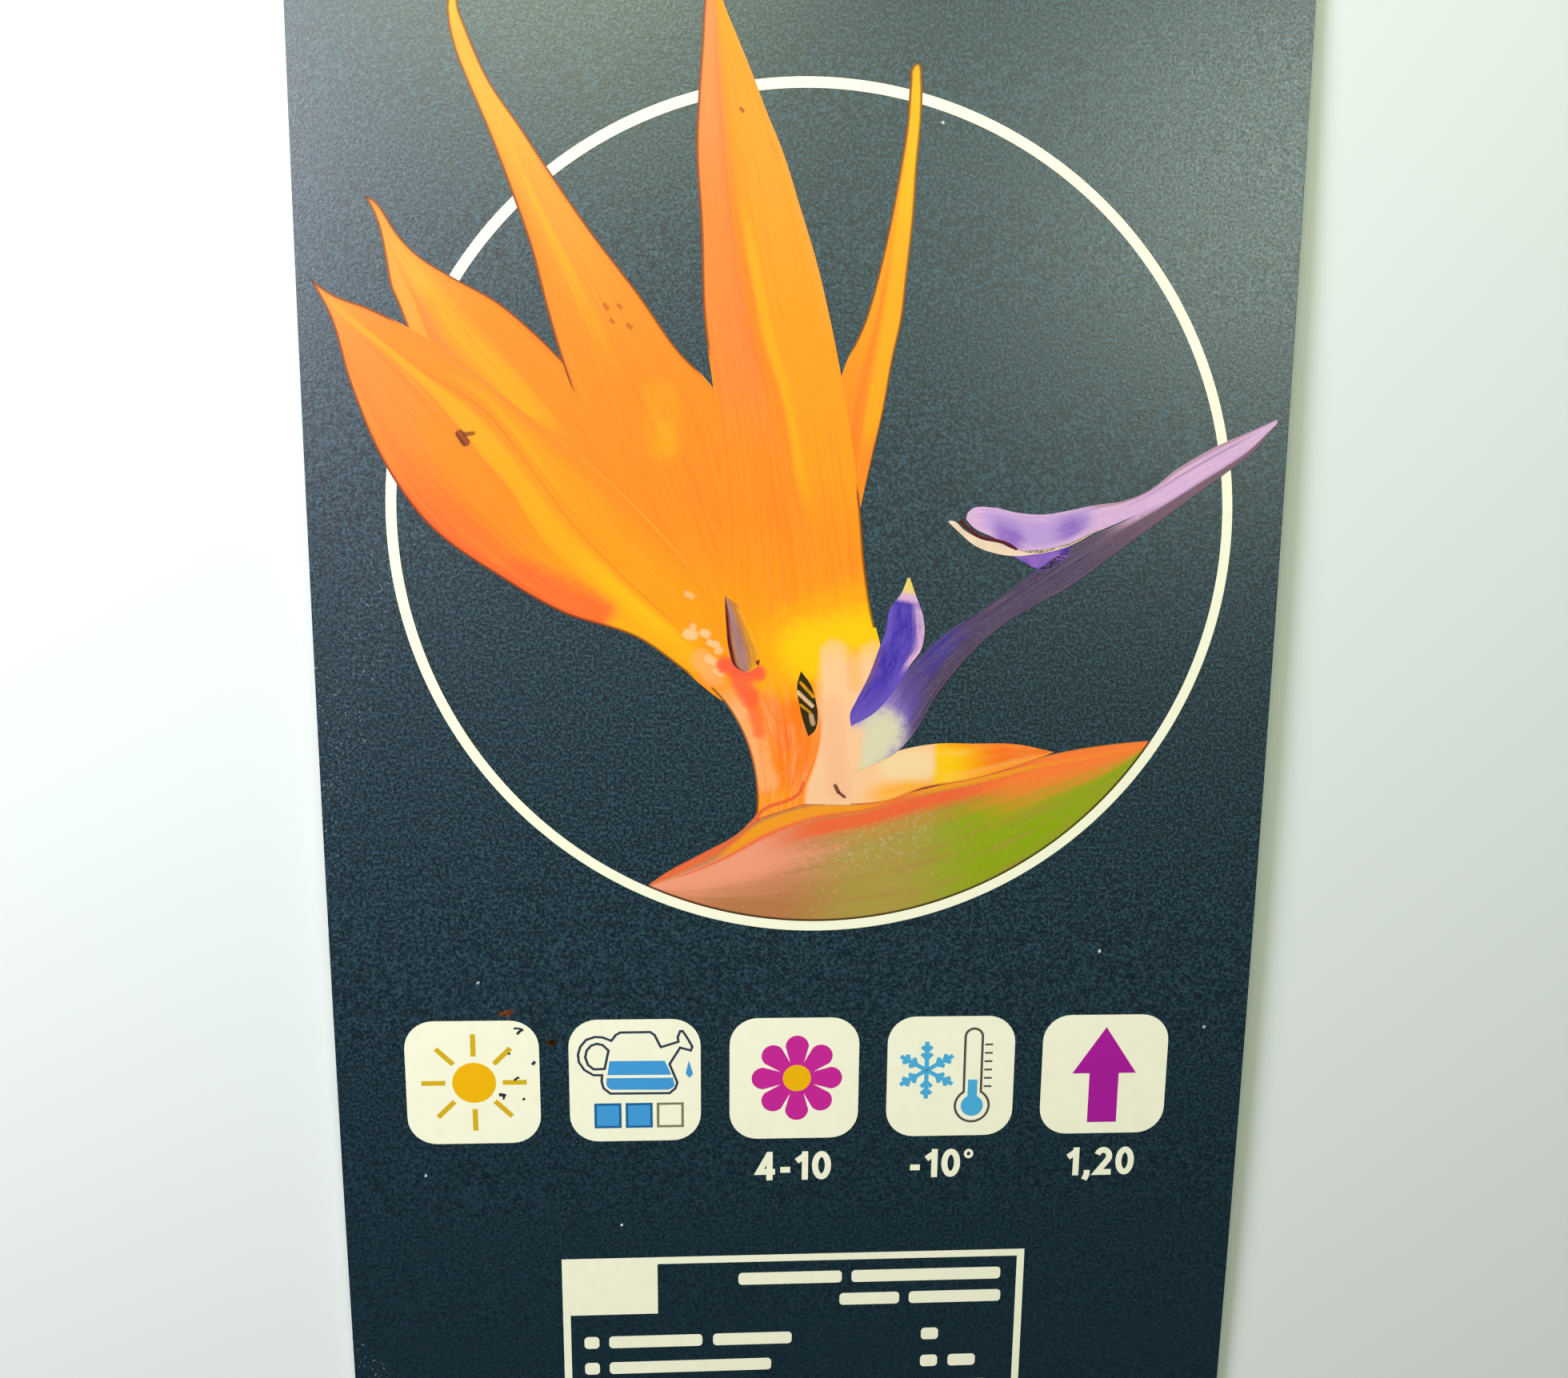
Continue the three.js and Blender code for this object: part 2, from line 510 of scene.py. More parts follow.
def makeSheet():
    # grid over the card's outline, with a square window that a ring of faces joins to the round hole
    step, r = card["gridStep"], card["cornerRadius"]
    straight = card["halfLength"] - r
    turn = quarterTurn[1:]
    level = np.linspace(-straight, straight, 2 * round(straight / step) + 1)
    v = np.concatenate([-straight - r * np.sin(turn[::-1]), level, straight + r * np.sin(turn)])
    over = np.maximum(np.abs(v) - straight, 0)
    half = card["halfWidth"] - r + np.sqrt(np.maximum(r**2 - over**2, 0))
    columns = 2 * round(card["halfWidth"] / step) + 1
    x = half[:, None] * np.linspace(-1, 1, columns)
    v = v[:, None] + 0 * x
    grid = np.arange(x.size).reshape(x.shape)

    side = round(r / step)
    top = len(v) - 1 - len(turn)
    base = top - 2 * side
    left, right = columns // 2 - side, columns // 2 + side
    window = [grid[base, left:right], grid[base:top, right], grid[top, right:left:-1]]
    window = np.concatenate([*window, grid[top:base:-1, left]])
    sides = card["holeSides"]
    turn = -0.75 * np.pi + np.arange(sides) * 2 * np.pi / sides
    rim = x.size + np.arange(sides)
    holeMiddle = card["halfLength"] - card["holeInset"]
    allX = np.concatenate([x.ravel(), card["holeRadius"] * np.cos(turn)])
    allV = np.concatenate([v.ravel(), holeMiddle + card["holeRadius"] * np.sin(turn)])
    upper, lower = onCard(allX, allV), onCard(allX, allV, -card["thickness"])
    below = len(upper)

    quads = cells(grid)
    keep = np.ones(quads.shape[:2], bool)
    keep[base:top, left:right] = False
    face = quads[keep].tolist()
    each = sides // len(window)
    for k, start in enumerate(window):
        inner = rim[(np.arange(each, -1, -1) + k * each) % sides]
        face.append([int(start), int(window[(k + 1) % len(window)]), *inner.tolist()])
    back = [[n + below for n in reversed(f)] for f in face]
    wall = walls([*edges(grid), (np.roll(rim, -1), rim)], below).tolist()
    mesh = bpy.data.meshes.new("label_sheet")
    mesh.from_pydata(np.concatenate([upper, lower]), [], face + back + wall)
    mesh.polygons.foreach_set("material_index", [0] * len(face) + [1] * (len(back) + len(wall)))
    mesh.materials.append(navyPrint())
    mesh.materials.append(barePlastic())
    sheet = dressed("label_sheet", mesh)
    bevel = sheet.modifiers.new("edge", "BEVEL")
    bevel.width = card["edgeBevel"] * 0.001
    bevel.segments = meshing["bevelSegments"]
    bevel.limit_method = "ANGLE"
    bevel.angle_limit = math.radians(meshing["bevelAngle"])
    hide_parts("label_card")


makeSheet()
print("card made")


# The ring round the flower

ring = {"centre": (1.03, 20.0), "radius": 38.6, "stroke": 0.95, "layer": 1, "places": 288}


def makeRing():
    path = arc(ring["centre"], ring["radius"], 0, 360, ring["places"] + 1)[:-1]
    piece("ring_print", [stroke(path, ring["stroke"], ring["layer"], closed=True)], [cream])


makeRing()
print("ring made")


# The flower. Each sepal has its rails from base to tip, and marks over one common tone.
# A mark is a hue, its strength, and then the words of a spot or a band.
# A spot's words: start, end, radius, softness.
# A band's words: number of the rail that it follows, half widths at base and tip, span along, softness.

throat = [
    ("gold", 0.9, (-1.6, 8.2), (5.4, 10.8), 5.4, 0.95),
    ("yellow", 1, (0.2, 8.4), (5.8, 9.6), 3.8, 0.95),
    ("peach", 0.6, (-9.8, 7.4), (-8.6, 5.8), 1.3, 0.95),
    ("droplet", 0.85, (-11, 9.8), (-10.6, 9.7), 0.66, 0.7),
    ("droplet", 0.6, (-10.6, 10.5), (-10.5, 10.4), 0.4, 0.7),
    ("droplet", 0.8, (-9.6, 9.9), (-9.3, 9.8), 0.5, 0.7),
    ("droplet", 0.8, (-9, 9), (-8.4, 8.8), 0.45, 0.7),
    ("droplet", 0.7, (-8.3, 8.2), (-8.1, 8.3), 0.42, 0.7),
    ("droplet", 0.7, (-9.2, 7.5), (-8.6, 7.2), 0.5, 0.7),
    ("droplet", 0.6, (-8.4, 6.4), (-8, 6.1), 0.42, 0.7),
    ("droplet", 0.5, (-11.1, 13.5), (-10.7, 13.3), 0.4, 0.9),
    ("rose", 0.95, (-7.6, 6.9), (-4.6, 6.2), 1.1, 0.8),
    ("rose", 0.85, (-6.3, 5.8), (-5.3, 3.8), 1.25, 0.95),
    ("coral", 0.7, (-5.2, 4), (-4.4, 0.6), 0.85, 1),
]
backSepal = {
    "layer": 2,
    "rails": [
        [(-20, 18), (-27, 25), (-33, 32), (-35.7, 36.9), (-36.3, 38.6), (-36.9, 40.1), (-37.2, 42),
         (-37.5, 43.9), (-37.8, 45.3), (-38.3, 46.6), (-38.9, 47.7)],
        [(-17, 18), (-25, 25.5), (-30.5, 32), (-33.3, 35.4), (-34.6, 38.9), (-35.6, 41), (-36.8, 43.6),
         (-37.7, 46.2), (-38.9, 47.7)],
        [(-10, 18), (-15.5, 26), (-22.2, 34.3), (-24.6, 36.6), (-27.6, 39), (-31.8, 41.2), (-34.3, 42.7),
         (-35.6, 43.9), (-36.5, 45.1), (-37.2, 46.3), (-38, 47.3), (-38.9, 47.7)],
    ],
    "marks": [
        ("paleOrange", 0.65, 1, (1.6, 1.6), (0.6, 1, 0.3), 0.2),
        ("paleOrange", 0.7, 0.45, (0.5, 0.5), (0.5, 1), 0.5),
        ("salmon", 0.7, 1.04, (0.08, 0.2), (0.5, 0.94), 0.8),
        ("gold", 0.6, 1.34, (0.24, 0.3), (0.3, 0.86), 0.8),
        ("honey", 0.5, 1.3, (0.2, 0.6), (0.7, 0.94), 0.8),
        ("deepOrange", 0.25, 2, (0.12, 0.2), (0.45, 1), 0.9),
    ],
    "rims": [(0.5, 1.1), (0.45, 1.1)],
}
rightSepal = {
    "layer": 2,
    "rails": [
        [(3.4, 19), (2.6, 26), (2.5, 31), (2.9, 33.4), (5, 38.5), (6.5, 44.2), (7.8, 51.2), (8.4, 55.6),
         (8.6, 59.1), (8.7, 60.2), (9.2, 60.6)],
        [(4.4, 20), (4.48, 26.2), (4.95, 31.2), (5.63, 34.6), (6.5, 39.5), (7.6, 47.2), (8.5, 54),
         (9, 59.6), (9.25, 60.62)],
        [(4.9, 22), (5.9, 26.5), (6.8, 30.5), (7.6, 35.3), (8.3, 38.6), (8.7, 42.5), (9.2, 47.8),
         (9.4, 52.1), (9.7, 56.3), (9.65, 59.3), (9.5, 60.4), (9.3, 60.64)],
    ],
    "marks": [
        ("amber", 0.9, 1, (1.6, 1.6), (0.2, 1, 0.3), 0.2),
        ("deepOrange", 0.6, 0.85, (0.3, 0.2), (0.05, 0.62), 0.9),
        ("gold", 0.7, 1.6, (0.45, 0.75), (0.12, 1), 0.45),
        ("yellow", 0.5, 1.5, (0.5, 1.2), (0.5, 1, 0.3), 0.8),
        ("oliveGold", 0.85, 1, (2, 2), (0.94, 1), 0.1),
    ],
    "rims": [(0.38, 1.1), (0.0, 1.1)],
}
leftSepal = {
    "layer": 3,
    "rails": [
        [(-9, 8), (-14, 16), (-19, 26), (-22.2, 34.3), (-23.5, 38.9), (-24.6, 43.4), (-26.5, 49),
         (-28.4, 54), (-29.9, 57.5), (-30.9, 60.1), (-31.4, 62.7), (-31.35, 64), (-31, 64.5)],
        [(-7, 8), (-11.5, 18), (-15.5, 28), (-18.6, 35.5), (-20.9, 40.5), (-23.7, 46.2), (-27, 53.4),
         (-29.5, 58.8), (-30.9, 63), (-31, 64.5)],
        [(-2, 8), (-4, 18), (-6.5, 26), (-8.7, 32.1), (-11.7, 35.2), (-15.2, 40), (-19.4, 45.3),
         (-22.9, 50.2), (-25.4, 53.9), (-28, 57.6), (-29.7, 61.4), (-30.4, 63.3), (-30.7, 64.4),
         (-31, 64.5)],
    ],
    "marks": [
        ("gold", 0.28, (-13.4, 31.2), (-13, 26.9), 2.1, 1),
        ("gold", 0.36, (-13, 28.2), (-12.9, 26.9), 1.2, 1),
        ("paleOrange", 0.6, 1.3, (1.2, 1.2), (0.42, 1, 0.3), 0.7),
        ("honey", 0.62, 1, (1.6, 1.6), (0.66, 1, 0.22), 0.4),
        ("gold", 0.7, 1, (0.16, 0.26), (0.42, 0.9, 0.2), 0.9),
        ("salmon", 0.35, 0, (0.2, 0.3), (0.4, 0.8), 0.9),
        ("salmon", 0.2, 2, (0.2, 0.3), (0.5, 0.95), 0.9),
        ("oliveGold", 0.7, 1, (2, 2), (0.93, 1), 0.1),
        ("rimBrown", 0.5, (-18.3, 39.1), (-18.1, 38.8), 0.28, 0.6),
        ("rimBrown", 0.5, (-17.1, 39.1), (-16.9, 38.9), 0.22, 0.6),
        ("rimBrown", 0.5, (-17.8, 37.8), (-17.6, 37.6), 0.22, 0.6),
        ("rimBrown", 0.5, (-16.3, 37.4), (-16, 37.2), 0.26, 0.6),
    ],
    "rims": [(0.42, 1.1), (0.4, 1.1)],
}
lowSepal = {
    "layer": 4,
    "rails": [
        [(-5.2, 2.2), (-7.8, 3.5), (-11.6, 6.5), (-15.4, 9.2), (-22.7, 11.7), (-27.9, 14.7), (-34.5, 19.6),
         (-37.9, 24.6), (-40.7, 31.7), (-42.3, 37.7), (-43.8, 40.6)],
        [(-5.2, 3.4), (-8.3, 5), (-11.5, 7.6), (-14.8, 9.9), (-19.7, 13.9), (-23.8, 17.8), (-27.2, 22.8),
         (-29.6, 25.6), (-33.4, 30.5), (-37.5, 34.4), (-42, 38.2), (-43.8, 40.6)],
        [(-5.2, 4.6), (-8.6, 7), (-12.9, 11.3), (-17, 15.1), (-21.5, 19.9), (-25, 24.7),
         (-29.4, 30), (-33.6, 32.6), (-39, 36.6), (-43.8, 40.6)],
        [(-5, 6.2), (-8.6, 9.2), (-13.2, 14), (-17.5, 18.7), (-19.2, 21.1), (-22.6, 24.6),
         (-26.7, 29.5), (-29.1, 31.9), (-34.9, 34.6), (-40, 37.7), (-43.8, 40.6)],
        [(-5, 7.6), (-7.4, 10), (-9.6, 14.4), (-12.6, 18.2), (-16.4, 22.1), (-20.5, 25.8),
         (-25.9, 29.8), (-30.7, 33.6), (-35.6, 36.7), (-38.8, 38.2), (-42.1, 39.4), (-43.8, 40.6)],
    ],
    "marks": [
        ("coral", 0.95, 0, (0.95, 0.5), (0.24, 0.86, 0.3), 0.95),
        ("coral", 0.9, (-26.5, 14.2), (-18.8, 11), 3.1, 0.95),
        ("salmon", 0.6, 0.4, (0.6, 0.9), (0.6, 1, 0.2), 0.8),
        ("amber", 0.8, 2.6, (1.6, 0.8), (0, 0.8, 0.3), 0.7),
        ("gold", 0.72, 1.4, (0.7, 0.42), (0, 0.98, 0.06), 0.7),
        ("gold", 0.9, (-16.5, 10.5), (-11.5, 7.6), 2.6, 0.9),
        ("yellow", 0.5, 1.5, (0.5, 0.3), (0.08, 0.42, 0.14), 0.9),
        ("gold", 0.5, 2.5, (0.22, 0.42), (0.4, 0.78, 0.2), 0.9),
        ("paleOrange", 0.5, 2, (2.2, 2.2), (0.84, 1, 0.14), 0.3),
        ("deepOrange", 0.5, 1.98, (0.04, 0.1), (0.12, 0.9), 0.9),
        ("deepOrange", 0.4, 2.25, (0.03, 0.06), (0.3, 0.8), 0.9),
        ("salmon", 0.35, 3.5, (0.3, 0.5), (0.5, 0.97), 0.9),
        ("paleOrange", 0.6, 3.96, (0.04, 0.03), (0.16, 0.58), 0.7),
        ("rimBrown", 0.95, (-31.3, 27.5), (-30.8, 26.8), 0.5, 0.5),
        ("rimBrown", 0.8, (-30.8, 27.5), (-30.1, 27.6), 0.26, 0.6),
    ],
    "rims": [(0.1, 1.1), (0.83, 1.1)],
}
middleSepal = {
    "layer": 5,
    "rails": [
        [(-8.2, 6), (-8, 10), (-7.8, 15), (-7.9, 22), (-8.3, 28), (-8.7, 32.1), (-9.5, 38),
         (-9.8, 46.2), (-10.2, 53.1), (-10, 57.4), (-9.7, 61.6), (-9.5, 64.9), (-9.3, 66.4),
         (-8.8, 67.2)],
        [(1.5, 7.8), (0.8, 14), (-0.3, 19.5), (-1.5, 24.6), (-2.1, 28.3), (-2.9, 31.9), (-4.2, 35.6),
         (-5.4, 40.5), (-6.2, 44.6), (-6.9, 48.8), (-7.4, 52.9), (-7.9, 57.6), (-8.3, 62), (-8.8, 67.2)],
        [(7.2, 8), (6.3, 11), (5.4, 16), (4.8, 21.8), (4, 27.5), (2.9, 33.4), (1.8, 38.4),
         (0.6, 43.1), (-1.1, 48.3), (-2.6, 52.7), (-4.1, 56.1), (-5.2, 58.8), (-6.6, 62), (-7.9, 65),
         (-8.4, 66.6), (-8.8, 67.2)],
    ],
    "marks": [
        ("amber", 0.9, 1.7, (0.72, 0.72), (0.1, 1, 0.2), 0.4),
        ("salmon", 0.95, 0.45, (0.3, 0.62), (0.3, 1, 0.16), 0.3),
        ("shrimp", 0.85, 0.3, (0.9, 0.9), (0.66, 1, 0.2), 0.6),
        ("coral", 0.3, 0.82, (0.16, 0.2), (0.36, 0.96), 0.9),
        ("gold", 0.7, 1.13, (0.13, 0.14), (0.2, 0.7), 0.9),
        ("paleOrange", 0.3, 1.6, (0.4, 0.5), (0.5, 0.95, 0.2), 0.7),
        ("deepOrange", 0.4, 0.92, (0.06, 0.06), (0.22, 0.34), 0.9),
        ("deepOrange", 0.4, 1.35, (0.04, 0.04), (0.08, 0.22), 0.9),
        ("paleOrange", 0.6, 1.96, (0.06, 0.1), (0.45, 1), 0.8),
        ("rimBrown", 0.7, (-6.3, 56.1), (-6.1, 55.9), 0.2, 0.6),
    ],
    "rims": [(0.46, 1.1), (0.0, 0.27)],
}
sepalRim = 0.34  # width of their dark outline
sepals = {
    "back": backSepal,
    "right": rightSepal,
    "left": leftSepal,
    "low": lowSepal,
    "middle": middleSepal,
}


def petalTone(ink):
    # orange that turns amber towards the throat and orange again below it
    colour = ink.mix(ink.soft(ink.y, 22.0, 11.0), hue("orange"), hue("amber"))
    return ink.lay(colour, ink.soft(ink.y, 7.0, 1.0), "orange")


def sepalPrint(name, spec):
    # common tone with fibres, marks and a thin dark outline
    ink = Ink(f"{name}Sepal")
    ink.follow()
    colour = ink.streak(petalTone(ink), "deepOrange", 0.3)
    colour = ink.paint(colour, spec["marks"])
    colour = ink.streak(colour, "paleOrange", 0.25, 15.0, 3.0)
    colour = ink.veins(colour, "coral", 0.22)
    if name in ("low", "middle"):
        colour = ink.paint(colour, throat)
    colour = ink.rim(colour, sepalRim, spec["rims"])
    return ink.finish(colour)


def makeSepals():
    for name, spec in sepals.items():
        shell = loft(spec["rails"], rows=90, strips=5, layer=spec["layer"])
        piece(f"{name}_sepal_print", [shell], [sepalPrint(name, spec)])


makeSepals()
print("sepals made")

heart = {
    "layer": 6,
    "rows": 60,
    "strips": 7,
    "rails": [
        [(-4.65, -7.9), (-4.57, -5.9), (-4.85, -3.2), (-5.9, 0.35), (-7.6, 3.3), (-9.7, 5.55)],
        [(-0.1, -6.4), (0.06, -5), (0.9, -2.3), (1.39, 0.4), (1.37, 2.15), (1.33, 4.8), (1.2, 7.6),
         (0.9, 10.4)],
        [(4.4, -6.5), (4.5, -4), (4.7, -1), (4.7, 1.2), (5.3, 3.5), (6.4, 6), (7, 8.4),
         (6.5, 10.6)],
    ],
    "marks": [
        ("deepOrange", 0.6, (-1, -3), (-1, 2.4), 2, 0.95),
        ("coral", 0.35, (-3.4, 3.6), (-2, -0.4), 1.2, 0.95),
        ("peach", 0.75, (-8.8, 6), (-6.4, 2.6), 1.3, 0.9),
        ("peach", 0.8, (-6.2, 2.6), (-3.7, -4.2), 1.6, 0.9),
        ("amber", 0.7, (-3.9, -6.6), (-1.4, -6), 1.6, 0.9),
        ("gold", 0.6, (-1.6, 7.4), (0.4, 3), 1, 0.9),
    ],
    "column": [
        ("petalCream", 1, 1.7, (0.74, 0.7), (0, 0.92, 0.14), 0.16),
        ("droplet", 0.7, (2.2, 3), (2.6, 8.2), 1.6, 0.8),
        ("blush", 0.25, (3.2, -5), (2.4, 3), 1.6, 0.95),
        ("droplet", 0.5, (5.4, 6.4), (6.3, 8.2), 1.5, 0.95),
        ("gold", 0.4, (4.6, 5.2), (4.4, 8.2), 1, 0.95),
        ("rimBrown", 0.9, (2.9, -4.6), (3.2, -5.2), 0.24, 0.6),
        ("rimBrown", 0.9, (3.3, -5.3), (3.8, -5.7), 0.2, 0.6),
    ],
    "rims": [(0.0, 0.94), None],
    "rimWidth": 0.3,
}
slits = {
    "layer": 7,
    "side": [
        [(-5.6, 6.2), (-6.7, 6.8), (-7.2, 8.2), (-7.5, 10.8), (-7.64, 13.4)],
        [(-5.6, 6.2), (-4.55, 6.8), (-4.35, 8.2), (-4.74, 9.4), (-5.6, 11.1), (-6.45, 12.5),
         (-7.64, 13.4)],
    ],
    "sideMarks": [
        ("mauveGrey", 1, 0.36, (0.34, 0.3), (0, 1), 0.9),
        ("wine", 1, 0, (0.14, 0.34), (0, 1), 0.7),
        ("gold", 0.9, 1, (0.44, 0.4), (0, 0.86), 0.9),
        ("wine", 0.9, (-4.5, 7.2), (-4.4, 7.1), 0.3, 0.5),
    ],
    "centre": [
        [(0.26, 0.2), (-0.28, 1.8), (-0.65, 3.4), (-0.84, 5.1), (-0.5, 6.4)],
        [(0.26, 0.2), (0.78, 0.6), (1.14, 2.2), (0.91, 3.7), (0.46, 5.1), (-0.5, 6.4)],
    ],
    "centreMarks": [
        ("petalCream", 0.9, (-0.75, 4.4), (0.6, 3.1), 0.24, 0.7),
        ("gold", 0.7, (-0.5, 5.3), (0.7, 4), 0.2, 0.7),
        ("gold", 0.6, (-0.5, 3.2), (0.4, 2.5), 0.16, 0.7),
        ("petalCream", 0.6, (0.5, 2.2), (0.7, 1.4), 0.3, 0.8),
    ],
}
crease = {
    "path": [(-4.75, -7.95), (-4.2, -7.2), (-3.5, -6.7), (-2, -6.2), (-0.6, -5.4), (-0.1, -4.2)],
    "width": 0.34,
}


def heartPrint():
    ink = Ink("heartPrint")
    ink.follow()
    colour = ink.streak(petalTone(ink), "deepOrange", 0.4, 6.0, 3.0)
    colour = ink.paint(colour, heart["marks"])
    colour = ink.streak(colour, "droplet", 0.35, 9.0, 2.4)
    colour = ink.veins(colour, "coral", 0.3, 4.0)
    colour = ink.mix(ink.soft(ink.along, 0.72, 0.98), colour, petalTone(ink))
    colour = ink.paint(colour, throat)
    colour = ink.paint(colour, heart["column"], 4.0)
    colour = ink.rim(colour, heart["rimWidth"], heart["rims"])
    return ink.finish(colour)


def slitPrint(name, marks, base):
    ink = Ink(name)
    ink.follow()
    return ink.finish(ink.streak(ink.paint(hue(base), marks), "wine", 0.3, 7.0, 3.0))


def makeHeart():
    piece("flower_heart_print", [petal(heart)], [heartPrint()])
    side = slitPrint("sideSlit", slits["sideMarks"], "umber")
    piece("side_slit_print", [loft(slits["side"], rows=24, strips=8, layer=slits["layer"])], [side])
    centre = slitPrint("centreSlit", slits["centreMarks"], "darkOlive")
    piece("centre_slit_print", [loft(slits["centre"], rows=24, strips=6, layer=slits["layer"])], [centre])
    line = stroke(smoothLine(crease["path"], 24), crease["width"], slits["layer"])
    piece("crease_print", [line], [flatInk("brick")])


makeHeart()
print("heart made")

bract = {
    "layer": 0,
    "rows": 110,
    "strips": 6,
    "rails": [
        [(-15.4, -14.8), (-13.2, -13.2), (-9.8, -11.3), (-6.2, -9.2), (-4.6, -7.6), (-2.7, -6.6),
         (0.5, -6), (4.3, -6.1), (8.8, -5.5), (14.9, -4), (21.2, -2.1), (25.3, -1.1), (30.5, -0.3),
         (33.9, 0)],
        [(-15.4, -14.8), (-12.8, -13.5), (-7.8, -10.6), (-4.6, -7.9), (0.1, -6.4), (6.5, -6.3),
         (11.3, -4.9), (16, -3.9), (22.5, -2.3), (28.9, -1.2), (33.9, -0.1)],
        [(-15.4, -14.8), (-12.2, -13.65), (-7.5, -11.6), (-3.7, -9.4), (0.1, -7.9), (6.5, -6.7),
         (11.3, -5.2), (16.1, -4.2), (22.5, -2.6), (28.9, -1.4), (33.9, -0.2)],
        [(-15.4, -14.8), (-11, -14), (-6.2, -12.4), (-3, -11.1), (0.15, -9.9), (6.5, -8.3),
         (11.3, -6.8), (16.1, -5.5), (22.5, -3.6), (28.9, -2), (33.9, -0.3)],
        arc(ring["centre"], ring["radius"], -115.3, -31.3, 15),
    ],
    "marks": [
        ("blush", 1, 2.65, (1.2, 0.7), (0, 0.44, 0.24), 0.6),
        ("brick", 1, 2.6, (0.5, 0.78), (0.22, 1, 0.14), 0.6),
        ("salmon", 0.75, 2.8, (0.5, 0.8), (0.6, 1, 0.14), 0.7),
        ("bractOrange", 1, 1.66, (0.42, 0.85), (0.13, 1, 0.06), 0.5),
        ("brick", 0.8, 2.08, (0.24, 0.1), (0.04, 0.5, 0.05), 0.9),
        ("brick", 0.7, 1.3, (0.24, 0.1), (0.02, 0.24, 0.05), 0.9),
        ("brick", 0.75, 1.8, (1, 1), (0.43, 0.58, 0.07), 0.8),
        ("salmon", 0.7, 1.6, (1, 1), (0.72, 1, 0.1), 0.5),
        ("brick", 0.95, 0.6, (0.7, 0.7), (0, 1), 0.5),
        ("salmon", 0.8, 0.6, (0.9, 0.9), (0.7, 1), 0.5),
        ("wine", 0.4, 0, (0.3, 0.2), (0, 1), 0.8),
    ],
}
bud = {
    "layer": 5,
    "rows": 48,
    "strips": 10,
    "rails": [
        [(2.6, -2.8), (6.4, -2), (9.9, -0.9), (12.7, -0.45), (15.9, -0.43), (20.5, -0.5), (23.9, -1.2)],
        [(2.6, -6.45), (8.1, -5.95), (11.3, -4.8), (16.1, -3.9), (19.3, -2.95), (23.9, -1.25)],
    ],
}


def bractPrint():
    # pink-brown, olive and green along the bract, with fibres, a pale bloom and a dark line at the ring
    ink = Ink("bractPrint")
    ink.follow()
    colour = ink.mix(ink.soft(ink.x, -12.0, -7.0), hue("bractPink"), hue("bractBrown"))
    colour = ink.lay(colour, ink.soft(ink.x, -3.0, 6.0), "bractOlive")
    colour = ink.lay(colour, ink.soft(ink.x + ink.y * 0.1, 6.5, 17.0), "bractGreen")
    colour = ink.streak(colour, "bractBrown", 0.4, 9.0, 5.0)
    dusty = ink.cloud(2.6, 4.0, 0.7, 0.46, 0.75) * ink.spot((0.0, -9.8), (9.0, -8.2), 5.0, 0.95)
    colour = ink.lay(colour, dusty * 0.6, "greenCream")
    colour = ink.paint(colour, bract["marks"])
    colour = ink.lay(colour, ink.cloud(3.4, 2.0, 0.6, 0.6, 0.72) * 0.3, "peach")
    away = (ink.x - ring["centre"][0]) ** 2 + (ink.y - ring["centre"][1]) ** 2
    inner = ring["radius"] - ring["stroke"] / 2
    line = ink.soft(away, (inner - 0.3) ** 2, (inner - 0.12) ** 2)
    return ink.finish(ink.lay(colour, line * 0.9, "soil"))


def budPrint():
    # cream that turns yellow and then orange towards the bud's tip, with a brick line along its foot
    ink = Ink("budPrint")
    ink.follow()
    colour = ink.mix(ink.soft(ink.x, 4.0, 10.0), hue("petalCream"), hue("droplet"))
    layers = [
        ("gold", ink.soft(ink.across, 0.42, 0.85) * ink.soft(ink.x, 4.5, 8.0) * 0.85),
        ("budCream", ink.spot((8.6, -2.6), (11.4, -2.6), 2.0, 0.9) * 0.9),
        ("yellow", ink.soft(ink.x, 12.0, 12.8)),
        ("deepOrange", ink.soft(ink.x, 13.6, 19.0)),
        ("orange", ink.soft(ink.across, 0.25, 0.0) * ink.soft(ink.x, 12.0, 14.0) * 0.6),
        ("honey", ink.soft(ink.across, 0.6, 0.85) * ink.soft(ink.x, 14.0, 17.0) * 0.6),
        ("brick", ink.soft(ink.across, 0.94, 1.0) * ink.soft(ink.x, 8.0, 11.0) * 0.8),
    ]
    for name, share in layers:
        colour = ink.lay(colour, share, name)
    return ink.finish(ink.streak(colour, "droplet", 0.25, 6.0, 4.0))


def makeBract():
    piece("bract_print", [petal(bract)], [bractPrint()])
    piece("bud_print", [petal(bud)], [budPrint()])


makeBract()
print("bract made")

